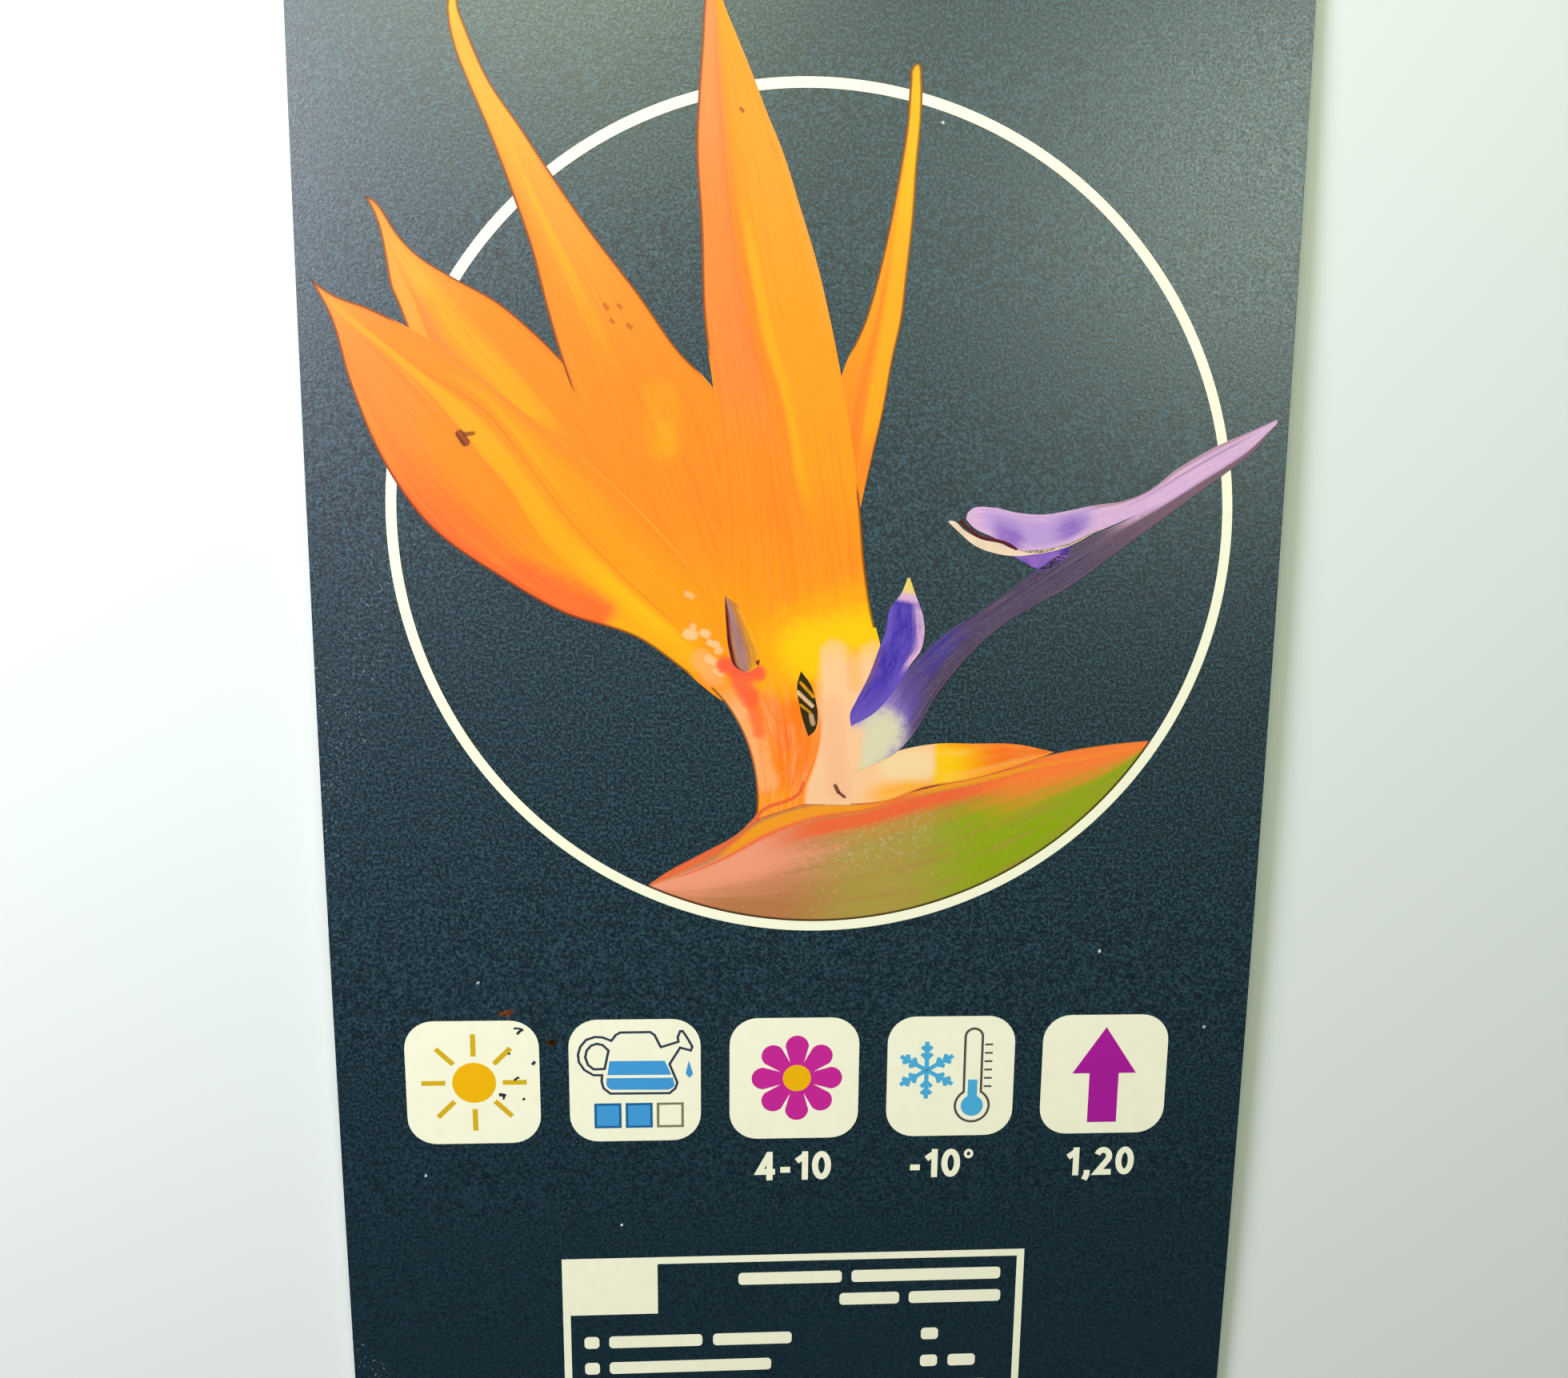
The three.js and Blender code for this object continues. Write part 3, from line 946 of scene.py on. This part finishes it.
spear = {
    "layer": 9,
    "rows": 60,
    "strips": 10,
    "rails": [
        [(4.3, 1.2), (4.2, 2.3), (4.8, 3.7), (5.9, 6), (6.9, 8.8), (7.4, 10.1), (7.8, 12.4), (8.8, 13.8),
         (9.4, 15.3)],
        [(4.3, 1.2), (6.4, 2.4), (8.2, 4.4), (10.1, 7.5), (10.7, 8.3), (11.1, 10.1), (10.9, 11.8),
         (10.1, 13.9), (9.6, 15.3)],
    ],
    "marks": [
        ("violetLight", 0.9, 0.5, (0.9, 0.4), (0, 0.34, 0.3), 0.9),
        ("rosePlum", 0.7, 0, (0.3, 0.2), (0.15, 0.6, 0.2), 0.8),
        ("violetLight", 0.8, 0, (0.3, 0.24), (0.5, 0.86, 0.1), 0.8),
        ("violetLight", 0.7, 0.95, (0.4, 0.3), (0, 0.6, 0.2), 0.9),
        ("orchid", 0.95, 1, (0.05, 0.5), (0.4, 0.9, 0.12), 0.8),
    ],
    "ends": [
        ("orchid", 0.9, 0.5, (1.2, 1.2), (0.83, 1, 0.04), 0.1),
        ("tipCream", 1, 0.5, (1.2, 1.2), (0.88, 1, 0.05), 0.1),
    ],
}
stem = {
    "layer": 8,
    "rows": 96,
    "strips": 5,
    "rails": [
        [(4, 0.6), (4.6, 1.5), (7.76, 4.5), (10.7, 7.9), (13.7, 10.6), (16.15, 12.15), (18.6, 13.9),
         (21.6, 16.2), (24, 18), (26.8, 19.5), (29.7, 20.9), (33.5, 22.8), (37.2, 25.1), (41.3, 27.8),
         (43.7, 30.2)],
        [(4.3, -1), (7.6, 0.4), (11.3, 5.3), (13.7, 8.1), (16.45, 10.65), (19.9, 13), (23.6, 15.5),
         (27.35, 17.8), (31.05, 20.2), (34.7, 22.9), (38.4, 25.4), (41.3, 27.5), (43.7, 30.1)],
        [(4.6, -3.4), (9.15, -0.9), (10.4, 0.65), (12.6, 4.5), (15, 7.6), (17.5, 10.2), (21.2, 12.7),
         (24.9, 14.8), (28.6, 17.6), (32.3, 20.4), (36, 23.2), (39.2, 25.6), (41.3, 27.2), (43.7, 30)],
    ],
    "marks": [
        ("violet", 0.9, 0.4, (1.1, 0.6), (0.12, 0.36, 0.16), 0.9),
        ("violetLight", 0.8, 0.6, (1.6, 0.5), (0, 0.22, 0.12), 0.6),
        ("rosePlum", 0.7, 1, (1.6, 1.6), (0.5, 1, 0.3), 0.6),
        ("orchid", 0.8, 0.1, (0.3, 0.5), (0.6, 1, 0.1), 0.9),
    ],
    "ends": [
        ("lavender", 0.75, 0.9, (1.8, 1.8), (0, 0.15, 0.08), 0.5),
        ("whiteGreen", 1, (5.4, -1.8), (7.2, 0.7), 3, 0.95),
        ("petalCream", 1, (4.2, -3.2), (4.5, 0.2), 1.5, 0.95),
    ],
}
blade = {
    "layer": 9,
    "rows": 96,
    "strips": 5,
    "rails": [
        [(14.74, 20.8), (14.85, 21.4), (15.3, 21.8), (17.1, 21.95), (19.6, 21.5), (22.1, 21.4),
         (24.6, 21.85), (27.1, 22.4), (29.6, 22.8), (31.6, 23.6), (34.6, 25.9), (36.5, 27.1), (38.3, 28.1),
         (41.2, 29.4), (43.8, 30.6)],
        [(14.74, 20.8), (15.8, 20.6), (17.5, 20), (19.6, 19.3), (21.5, 18.8), (24, 19.4), (27, 21),
         (29.7, 22.1), (33, 23.9), (37, 26.3), (41.2, 28.8), (43.8, 30.45)],
        [(14.74, 20.8), (15.4, 20.1), (17.2, 19.25), (19.2, 18.3), (20.5, 17.85), (24, 18.4),
         (26.75, 19.7), (29.7, 21), (33.5, 22.6), (37.2, 25.05), (41.3, 27.8), (43.8, 30.2)],
    ],
    "marks": [
        ("lavender", 0.9, 0.8, (1.1, 1.1), (0.03, 0.42, 0.06), 0.8),
        ("lilac", 1, 1.3, (1.2, 1.2), (0.07, 0.2, 0.05), 0.8),
        ("lilac", 1, 0.8, (0.9, 0.9), (0.25, 0.4, 0.07), 0.8),
        ("lilac", 0.8, 1.9, (0.3, 0.3), (0.22, 0.31, 0.05), 0.8),
        ("mauveGrey", 0.75, 0.1, (0.1, 0.5), (0.36, 1, 0.06), 0.8),
        ("rosePlum", 0.5, 0.8, (0.1, 0.3), (0.45, 0.95), 0.9),
        ("lilac", 0.35, 2, (0.1, 0.2), (0.45, 0.95), 0.9),
    ],
    "ends": [],
}
barb = {
    "layer": 9,
    "rows": 48,
    "strips": 4,
    "rails": [
        [(13.1, 20.65), (13.5, 20.65), (14.6, 19.8), (16.2, 19), (18.2, 18.6), (19.2, 18.15),
         (20.7, 18.05), (24, 18.6), (27.5, 20.2)],
        [(13.1, 20.5), (14.15, 19.55), (15.7, 18.35), (17.2, 17.8), (19.25, 17.5), (21, 17.65),
         (24, 18.3), (27.5, 20.1)],
    ],
    "line": [(14.2, 20.75), (14.9, 20.0), (16.2, 19.2), (17.6, 18.95), (18.8, 18.6), (19.6, 18.1)],
    "lineWidth": 0.26,
}
spur = [
    [(19.4, 17.6), (22, 18), (24.6, 18.6)],
    [(19.4, 17.4), (22.3, 16.25), (24.6, 17.6)],
]


def tonguePrint(name, spec, base, shade):
    # fibres and marks, with the pale grain of the print over them
    ink = Ink(name)
    ink.follow()
    colour = ink.streak(hue(base), shade, 0.6, 7.0, 6.0)
    colour = ink.paint(colour, spec["marks"])
    colour = ink.streak(colour, shade, 0.5, 14.0, 9.0)
    colour = ink.lay(colour, ink.cloud(3.0, 2.0, 0.6, 0.5, 0.7) * 0.3, shade)
    return ink.finish(ink.paint(colour, spec["ends"]))


def makeTongue():
    inks = [tonguePrint("stemPrint", stem, "plum", "greyPlum")]
    piece("tongue_stem_print", [petal(stem)], inks)
    spurShell = loft(spur, rows=16, strips=4, layer=stem["layer"], ink=1)
    inks = [tonguePrint("bladePrint", blade, "orchid", "lavender"), flatInk("lilac", "violet")]
    piece("tongue_blade_print", [petal(blade), spurShell], inks)
    dark = stroke(smoothLine(barb["line"], 32), barb["lineWidth"], barb["layer"] + 1, 1)
    inks = [flatInk("barbCream", "barbShade"), flatInk("wine")]
    piece("tongue_barb_print", [petal(barb), dark], inks)
    inks = [tonguePrint("spearPrint", spear, "violet", "violetLight")]
    piece("spear_print", [petal(spear)], inks)


makeTongue()
print("tongue made")


# The row of care pictograms

icons = {"left": -38.46, "top": -28.09, "size": 12.83, "pitch": 15.67, "corner": 2.8, "layer": 1}


def ray(angle, length):
    return length * np.array([np.cos(angle), np.sin(angle)])


def iconPlate(place):
    half = icons["size"] / 2
    middle = (icons["left"] + half + place * icons["pitch"], icons["top"] - half)
    return plate(middle, icons["size"], icons["size"], icons["corner"], icons["layer"])


sun = {"centre": (-31.95, -34.5), "radius": 2.1, "rayWidth": 0.5, "rayStart": 2.75, "rayEnd": 5.05, "rays": 8}


def makeSun():
    top = icons["layer"] + 1
    shells = [iconPlate(0), disc(sun["centre"], sun["radius"], top, 1)]
    for turn in np.arange(sun["rays"]) * 2 * np.pi / sun["rays"]:
        ends = [sun["centre"] + ray(turn, sun[key]) for key in ("rayStart", "rayEnd")]
        shells.append(stroke(ends, sun["rayWidth"], top, 2))
    piece("icon_sun_print", shells, [cream, flatInk("sunYellow"), flatInk("rayYellow")])


can = {
    "line": 0.24,
    "outline": [(-18.64, -30.28), (-18.21, -29.68), (-17.78, -29.43), (-14.87, -29.41), (-14.45, -29.72),
                (-13.85, -31), (-12.14, -30.46), (-12.19, -29.95), (-11.95, -29.35), (-11.71, -29.35),
                (-11.38, -29.86), (-10.77, -30.98), (-10.92, -31.39), (-11.96, -31.07), (-13.01, -32.79),
                (-12.26, -34.75), (-12.46, -35.37), (-13.03, -35.87), (-18.82, -35.83), (-19.47, -35.26),
                (-19.65, -34.54), (-19.59, -33.88), (-20.44, -33.86), (-21.32, -33.29), (-21.82, -32.47),
                (-21.89, -31.66), (-21.64, -30.85), (-21.07, -30.15), (-20.22, -29.86), (-19.48, -29.92)],
    "handle": [(-19.49, -30.72), (-20.05, -30.57), (-20.61, -30.76), (-21.04, -31.26), (-21.2, -31.97),
               (-20.93, -32.79), (-20.38, -33.25), (-19.34, -33.22), (-18.93, -31.29)],
    "water": [
        [[(-19.07, -33.88), (-18.86, -32.41)], [(-12.83, -33.92), (-13.48, -32.43)]],
        [[(-18.72, -35.42), (-19.09, -35.16), (-19.17, -34.19)],
         [(-13.13, -35.51), (-12.6, -35.2), (-12.69, -34.23)]],
    ],
    "drop": [
        [(-11.08, -34.27), (-11.4, -33.84), (-11.3, -33.2), (-11.11, -32.46)],
        [(-11.08, -34.27), (-10.76, -33.9), (-10.9, -33.2), (-11.11, -32.46)],
    ],
    "squares": {
        "count": 3,
        "full": 2,
        "first": -19.09,
        "pitch": 3.06,
        "level": -38.19,
        "width": 2.65,
        "border": 0.24,
        "corner": 0.02,
    },
}


def makeCan():
    top = icons["layer"] + 1
    shells = [iconPlate(1)]
    shells += [loft(rails, rows=6, strips=6, layer=top, ink=1) for rails in can["water"]]
    shells.append(loft(can["drop"], rows=16, strips=4, layer=top, ink=1))
    shells += [stroke(can[key], can["line"], top + 1, 2, closed=True) for key in ("outline", "handle")]
    squares = can["squares"]
    reach = (squares["width"] - squares["border"]) / 2
    around = reach * np.array([(-1, -1), (1, -1), (1, 1), (-1, 1)])
    for k in range(squares["count"]):
        middle = (squares["first"] + k * squares["pitch"], squares["level"])
        full = k < squares["full"]
        if full:
            shells.append(plate(middle, 2 * reach, 2 * reach, squares["corner"], top, 1))
        shells.append(stroke(middle + around, squares["border"], top + 1, 3 if full else 4, closed=True))
    inks = [cream, flatInk("waterBlue"), flatInk("lineGrey"), flatInk("waterEdge"), flatInk("oliveGrey")]
    piece("icon_can_print", shells, inks)


bloom = {
    "centre": (-0.45, -34.45),
    "petals": 8,
    "reach": 4.5,
    "petalRadius": 1.15,
    "inner": 1.0,
    "innerHalf": 0.5,
    "core": 1.4,
}


def makeBloom():
    # round-ended petals: their half width follows a circle at the tip and tapers to the centre
    top = icons["layer"] + 1
    shells = [iconPlate(2)]
    tip = bloom["reach"] - bloom["petalRadius"]
    along = np.concatenate([[bloom["inner"]], tip + bloom["petalRadius"] * np.sin(quarterTurn)])
    half = np.concatenate([[bloom["innerHalf"]], bloom["petalRadius"] * np.cos(quarterTurn)])
    for k in range(bloom["petals"]):
        angle = np.pi / 2 + k * 2 * np.pi / bloom["petals"]
        side = half[:, None] * np.linspace(-1, 1, 7)
        x = bloom["centre"][0] + along[:, None] * np.cos(angle) - side * np.sin(angle)
        v = bloom["centre"][1] + along[:, None] * np.sin(angle) + side * np.cos(angle)
        shells.append(slab(x, v, top + k % 2, 1))
    shells.append(disc(bloom["centre"], bloom["core"], top + 2, 2))
    piece("icon_bloom_print", shells, [cream, flatInk("magenta"), flatInk("sunYellow")])


frost = {
    "flake": {
        "centre": (12.52, -33.8),
        "arms": 6,
        "reach": 3.05,
        "line": 0.44,
        "twigs": [(1.25, 0.75), (2.05, 0.7)],  # where a pair leaves its arm, and its length
        "twigTurn": np.pi / 4,
    },
    "tube": {"x": 17.22, "top": -29.41, "half": 0.87, "line": 0.25, "bulb": -37.68, "bulbRadius": 1.72},
    "column": {"half": 0.48, "top": -34.87, "bulbRadius": 1.13},
    "ticks": {"start": 18.35, "end": 19.15, "top": -31.12, "bottom": -35.6, "count": 6, "line": 0.2},
}


def makeFrost():
    top = icons["layer"] + 1
    flake, tube, column, ticks = frost["flake"], frost["tube"], frost["column"], frost["ticks"]
    shells = [iconPlate(3)]
    centre = np.array(flake["centre"])
    for k in range(flake["arms"]):
        angle = np.pi / 2 + k * 2 * np.pi / flake["arms"]
        shells.append(stroke([centre, centre + ray(angle, flake["reach"])], flake["line"], top, 1))
        for start, length in flake["twigs"]:
            root = centre + ray(angle, start)
            tips = [root + ray(angle + turn, length) for turn in (-flake["twigTurn"], flake["twigTurn"])]
            shells.append(stroke([tips[0], root, tips[1]], flake["line"], top, 1))
    bulb = (tube["x"], tube["bulb"])
    neckAngle = math.degrees(math.asin(tube["half"] / tube["bulbRadius"]))
    glass = [
        arc((tube["x"], tube["top"] - tube["half"]), tube["half"], 0, 180, 13),
        arc(bulb, tube["bulbRadius"], 90 + neckAngle, 450 - neckAngle, 33),
    ]
    shells.append(stroke(np.vstack(glass), tube["line"], top, 2, closed=True))
    shells.append(disc(bulb, column["bulbRadius"], top, 1, sides=32))
    shells.append(stroke([bulb, (tube["x"], column["top"])], column["half"] * 2, top + 1, 1))
    for v in np.linspace(ticks["top"], ticks["bottom"], ticks["count"]):
        shells.append(stroke([(ticks["start"], v), (ticks["end"], v)], ticks["line"], top, 2))
    piece("icon_frost_print", shells, [cream, flatInk("frostBlue"), flatInk("tubeBrown")])


arrow = {
    "apex": (30.64, -29.43),
    "apexHalf": 0.02,
    "headHalf": 3.28,
    "headBase": -34.36,
    "overlap": 0.2,  # of the shaft with the head
    "shaftHalf": 1.5,
    "foot": -39.7,
}


def makeArrow():
    top = icons["layer"] + 1
    x, tip = arrow["apex"]
    base = arrow["headBase"]
    head = [[(x + side * arrow["headHalf"], base), (x + side * arrow["apexHalf"], tip)] for side in (-1, 1)]
    shaft = [(x, arrow["foot"]), (x, base + arrow["overlap"])]
    shells = [iconPlate(4), loft(head, rows=3, strips=6, layer=top, ink=1)]
    shells.append(stroke(shaft, 2 * arrow["shaftHalf"], top + 1, 1))
    piece("icon_height_print", shells, [cream, flatInk("arrowPurple")])


makeSun()
makeCan()
makeBloom()
makeFrost()
makeArrow()
print("pictograms made")


# Plain numbers under three of the pictograms. A glyph one unit high: its width, whether its strokes are
# closed, and the strokes.

glyphs = {
    "0": (0.62, True, [arc((0.31, 0.5), (0.21, 0.4), 0, 345, 24)]),
    "1": (0.46, False, [[(0.33, 0), (0.33, 1)], [(0.33, 0.86), (0.06, 0.66)]]),
    "2": (0.62, False, [[*arc((0.3, 0.68), (0.2, 0.22), 165, -35, 12), (0.12, 0.1), (0.58, 0.1)]]),
    "4": (0.66, False, [[(0.46, 1), (0.46, 0)], [(0.64, 0.3), (0.12, 0.3), (0.44, 0.9)]]),
    "5": (0.62, False, [
        [(0.56, 0.9), (0.16, 0.9), (0.12, 0.5), *arc((0.3, 0.34), (0.22, 0.24), 125, -145, 12)],
    ]),
    "-": (0.42, False, [[(0.05, 0.36), (0.37, 0.36)]]),
    ",": (0.28, False, [[(0.15, 0.18), (0.15, 0.02), (0.07, -0.16)]]),
    "°": (0.34, True, [arc((0.17, 0.82), (0.11, 0.12), 0, 330, 12)]),
}
captions = {
    "bloom": {"text": "4-10", "middle": -0.72, "base": -45.5},
    "frost": {"text": "-10°", "middle": 14.3, "base": -45.5},
    "height": {"text": "1,20", "middle": 30.75, "base": -45.6},
}
lettering = {"height": 3.1, "gap": 0.1, "stroke": 0.2, "smallShare": 0.45}  # the degree's stroke is thinner


def makeCaption(name, spec):
    height, gap = lettering["height"], lettering["gap"]
    width = sum(glyphs[mark][0] for mark in spec["text"]) + gap * (len(spec["text"]) - 1)
    pen = spec["middle"] - width * height / 2
    shells = []
    for mark in spec["text"]:
        advance, closed, strokes = glyphs[mark]
        line = lettering["stroke"] * (lettering["smallShare"] if mark == "°" else 1) * height
        for n, path in enumerate(strokes):
            places = np.array(path, float) * height + (pen, spec["base"])
            shells.append(stroke(places, line, icons["layer"] + n, closed=closed))
        pen += (advance + gap) * height
    piece(f"caption_{name}_print", shells, [cream])


for name, spec in captions.items():
    makeCaption(name, spec)
print("captions made")


# Dirt on the print: short strokes with a start, an end and a width

flecks = {
    "layer": 3,
    "bend": 0.3,  # of their middle, as a share of their width
    "rust": [
        ((-29.4, -27.5), (-28.0, -27.2), 0.34), ((-28.6, -27.7), (-28.1, -27.0), 0.3),
        ((-24.9, -30.4), (-24.0, -30.5), 0.4), ((-24.5, -30.8), (-24.2, -30.1), 0.3),
    ],
    "soil": [
        ((-28.0, -28.9), (-27.2, -29.0), 0.2), ((-27.7, -29.5), (-27.1, -29.0), 0.26),
        ((-26.3, -32.7), (-26.0, -32.4), 0.3), ((-28.1, -34.3), (-27.6, -34.0), 0.22),
        ((-29.6, -35.8), (-29.0, -36.0), 0.34), ((-29.2, -36.3), (-29.0, -35.7), 0.2),
        ((-27.3, -36.4), (-27.1, -36.3), 0.26), ((-28.6, -31.6), (-28.4, -31.5), 0.2),
    ],
    "chalk": [
        ((-31.3, -24.3), (-31.1, -24.2), 0.24), ((29.4, -21.5), (29.6, -21.3), 0.24),
        ((40.6, -29.6), (40.8, -29.5), 0.26), ((11.5, 55.6), (11.7, 55.6), 0.24),
        ((-18.0, -50.2), (-17.8, -50.1), 0.2), ((-37.0, -44.4), (-36.9, -44.2), 0.2),
    ],
}


def makeFlecks():
    shades = {"rust": ("rust", "soil"), "soil": ("soil", "lineGrey"), "chalk": ("core", "scuff")}
    shells = []
    for place, name in enumerate(shades):
        for start, end, width in flecks[name]:
            middle = ((start[0] + end[0]) / 2, (start[1] + end[1]) / 2 + width * flecks["bend"])
            path = smoothLine([start, middle, end], 5)
            shells.append(stroke(path, width, flecks["layer"], place))
    piece("flecks", shells, [flatInk(*pair) for pair in shades.values()])


makeFlecks()
print("flecks made")

# The framed box, with rows of plain bars

box = {
    "left": -23.6,
    "right": 22.95,
    "top": -54.2,
    "bottom": -84.0,
    "line": 0.75,
    "panel": {"right": -14.4, "bottom": -60.2, "corner": 0.05},
    "barHeight": 1.35,
    "barCorner": 0.3,  # as a share of the bar's shorter side
    "bars": [  # each row's level, and where its bars start and end
        (-56.5, [(-6.2, 4.4), (5.4, 20.9)]),
        (-59.1, [(4.2, 10.4), (11.4, 21.0)]),
        (-63.4, [(-21.9, -20.4), (-19.4, -9.9), (-8.8, -0.7), (12.8, 14.6)]),
        (-66.4, [(-21.9, -20.4), (-19.4, -2.8)]),
        (-66.6, [(12.8, 14.6), (15.7, 18.6)]),
        (-69.4, [(-21.9, -20.4), (-19.4, -6.0)]),
        (-69.6, [(12.8, 20.0)]),
    ],
}


def makeBox():
    left, right, top, bottom = (box[side] for side in ("left", "right", "top", "bottom"))
    frameLine = fine([(left, bottom), (right, bottom), (right, top), (left, top)])
    panel = box["panel"]
    middle = ((panel["right"] + left) / 2, (panel["bottom"] + top) / 2)
    shells = [
        stroke(frameLine, box["line"], 1, closed=True),
        plate(middle, panel["right"] - left, top - panel["bottom"], panel["corner"]),
    ]
    for level, bars in box["bars"]:
        for start, end in bars:
            corner = min(box["barHeight"], end - start) * box["barCorner"]
            shells.append(plate(((start + end) / 2, level), end - start, box["barHeight"], corner))
    piece("particulars_print", shells, [cream])


makeBox()
print("box made")

camera = {
    "place": (-0.00169, 0.019, 0.1032),
    "turn": (-8.0744, -3.5049, 1.0319),  # degrees about X, Y and Z
    "lens": 24.8,
    "shift": -0.0461,
    "nearest": 0.005,
}
floor = {"side": 3.0, "colour": (226, 226, 222), "roughness": 0.8}
studio = {"colour": (0.95, 0.98, 1.0, 1.0), "strength": 0.02}
lights = {
    "backLeft": {"place": (-0.073, 0.228, 0.213), "size": 0.134, "power": 0.42, "colour": (0.87, 1.0, 0.66)},
    "backRight": {"place": (0.312, 0.275, 0.563), "size": 0.294, "power": 1.77, "colour": (0.85, 1.0, 0.82)},
    "left": {"place": (-0.312, 0.188, 0.228), "size": 0.181, "power": 2.44, "colour": (0.82, 0.84, 1.0)},
}


def makeStage():
    half = floor["side"] / 2
    mesh = bpy.data.meshes.new("floor")
    corners = [(-half, -half, 0), (half, -half, 0), (half, half, 0), (-half, half, 0)]
    mesh.from_pydata(corners, [], [(0, 1, 2, 3)])
    ink = Ink("paleFloor")
    words = {"Base Color": tint(*floor["colour"]), "Roughness": floor["roughness"]}
    shader = ink.node("ShaderNodeBsdfPrincipled", {}, words)
    ink.node("ShaderNodeOutputMaterial", {}, {"Surface": shader})
    mesh.materials.append(ink.material)
    added("floor", mesh)


def makeLights():
    for name, spec in lights.items():
        lamp = bpy.data.lights.new(name, "AREA")
        lamp.shape = "DISK"
        lamp.size = spec["size"]
        lamp.energy = spec["power"]
        lamp.color = spec["colour"]
        holder = added(name, lamp)
        holder.location = spec["place"]
        holder.rotation_euler = holder.location.to_track_quat("Z", "Y").to_euler()
    world = bpy.data.worlds.new("studio")
    bpy.context.scene.world = world
    world.use_nodes = True
    back = world.node_tree.nodes["Background"]
    back.inputs["Color"].default_value = studio["colour"]
    back.inputs["Strength"].default_value = studio["strength"]


def makeCamera():
    lens = bpy.data.cameras.new("camera")
    lens.lens = camera["lens"]
    lens.shift_x = camera["shift"]
    lens.clip_start = camera["nearest"]
    holder = added("camera", lens)
    holder.location = camera["place"]
    holder.rotation_euler = [math.radians(turn) for turn in camera["turn"]]
    bpy.context.scene.camera = holder


makeStage()
makeLights()
makeCamera()
bpy.context.scene.view_settings.view_transform = "Standard"
print("stage made")
